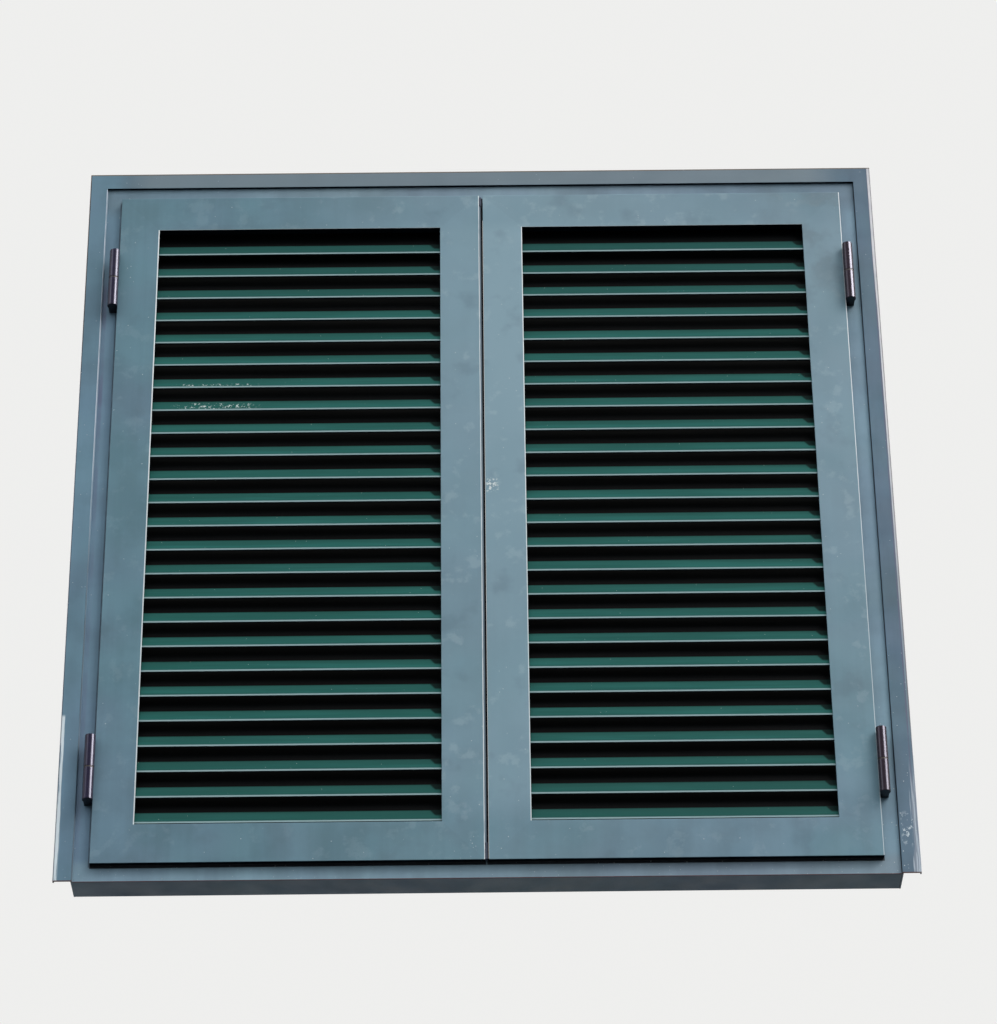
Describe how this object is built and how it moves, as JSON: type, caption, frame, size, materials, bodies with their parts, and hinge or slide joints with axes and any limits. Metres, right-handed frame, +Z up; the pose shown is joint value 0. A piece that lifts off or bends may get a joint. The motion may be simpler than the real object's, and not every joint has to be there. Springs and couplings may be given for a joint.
{
  "type": "louvred shutters",
  "caption": "Pair of outward-opening louvred shutters with fixed slats in a flanged aluminium frame, closed by a handle with rods and by flush bolts.",
  "frame": {"origin": "under the middle of the sill, on the plane of the wall face that the frame fits", "axes": "+X to the right seen from outside, +Y into the building, +Z up"},
  "size_m": [1.26, 0.1025, 1.26],
  "materials": {
    "frame_paint": "powder-coated aluminium, blue-grey",
    "leaf_paint": "powder-coated aluminium, blue-grey",
    "slat_paint": "powder-coated aluminium, dark green",
    "hinge_paint": "brown-black paint, semi-gloss",
    "washer_brass": "satin, dull",
    "cleat_aluminium": "raw extruded",
    "comb_plastic": "moulded black",
    "strip_paint": "weathered powder coat, purple-grey",
    "cap_plastic": "moulded dark",
    "rubber": "matt black",
    "gear_paint": "powder coat to match the leaves",
    "rod_steel": "zinc-plated",
    "guide_plastic": "moulded black"
  },
  "bodies": {
    "frame": {"frame_corner_cleats": "cleat_aluminium", "frame_head": "frame_paint", "frame_jamb_left": "frame_paint", "frame_jamb_right": "frame_paint", "frame_sill": "frame_paint", "hinge_frame_half_left_bottom": "hinge_paint", "hinge_frame_half_left_top": "hinge_paint", "hinge_frame_half_right_bottom": "hinge_paint", "hinge_frame_half_right_top": "hinge_paint", "hinge_washer_left_bottom": "washer_brass", "hinge_washer_left_top": "washer_brass", "hinge_washer_right_bottom": "washer_brass", "hinge_washer_right_top": "washer_brass", "keeps_bottom": "guide_plastic", "keeps_top": "guide_plastic"},
    "left_leaf": {"hinge_leaf_half_left_bottom": "hinge_paint", "hinge_leaf_half_left_top": "hinge_paint", "left_bottom_rail": "leaf_paint", "left_closing_angle": "leaf_paint", "left_corner_cleats": "cleat_aluminium", "left_gasket": "rubber", "left_hinge_stile": "leaf_paint", "left_meeting_stile": "leaf_paint", "left_slat_comb_hinge_side": "comb_plastic", "left_slat_comb_meeting_side": "comb_plastic", "left_slats": "slat_paint", "left_top_rail": "leaf_paint", "meeting_strip": "strip_paint", "meeting_strip_caps": "cap_plastic", "meeting_seal": "rubber", "flush_bolt_bodies": "gear_paint"},
    "right_leaf": {"hinge_leaf_half_right_bottom": "hinge_paint", "hinge_leaf_half_right_top": "hinge_paint", "right_bottom_rail": "leaf_paint", "right_closing_angle": "leaf_paint", "right_corner_cleats": "cleat_aluminium", "right_gasket": "rubber", "right_hinge_stile": "leaf_paint", "right_meeting_stile": "leaf_paint", "right_slat_comb_hinge_side": "comb_plastic", "right_slat_comb_meeting_side": "comb_plastic", "right_slats": "slat_paint", "right_top_rail": "leaf_paint", "cremone_base": "gear_paint", "rod_guides": "guide_plastic"},
    "handle": {"cremone_handle": "gear_paint", "cremone_pinion": "rod_steel"},
    "upper_rod": {"upper_rod": "rod_steel"},
    "lower_rod": {"lower_rod": "rod_steel"},
    "top_bolt": {"flush_bolt_top": "rod_steel"},
    "bottom_bolt": {"flush_bolt_bottom": "rod_steel"}
  },
  "joints": [
    {"name": "left_leaf_hinge", "type": "hinge", "parent": "frame", "child": "left_leaf", "pos_m": [-0.5835, -0.021, 0.616], "axis": [0, 0, -1], "range_deg": [0, 180]},
    {"name": "right_leaf_hinge", "type": "hinge", "parent": "frame", "child": "right_leaf", "pos_m": [0.5835, -0.021, 0.616], "axis": [0, 0, 1], "range_deg": [0, 180]},
    {"name": "handle_turn", "type": "hinge", "parent": "right_leaf", "child": "handle", "pos_m": [0.03575, 0.05, 0.616], "axis": [0, 1, 0], "range_deg": [0, 90]},
    {"name": "upper_rod_slide", "type": "slide", "parent": "right_leaf", "child": "upper_rod", "axis": [0, 0, 1], "range_m": [0, 0.0085]},
    {"name": "lower_rod_slide", "type": "slide", "parent": "right_leaf", "child": "lower_rod", "axis": [0, 0, -1], "range_m": [0, 0.0085]},
    {"name": "top_bolt_slide", "type": "slide", "parent": "left_leaf", "child": "top_bolt", "axis": [0, 0, 1], "range_m": [0, 0.0085]},
    {"name": "bottom_bolt_slide", "type": "slide", "parent": "left_leaf", "child": "bottom_bolt", "axis": [0, 0, -1], "range_m": [0, 0.0085]}
  ],
  "couplings": [
    {"joint": "upper_rod_slide", "follows": "handle_turn", "m_per_rad": 0.0054},
    {"joint": "lower_rod_slide", "follows": "handle_turn", "m_per_rad": 0.0054}
  ]
}
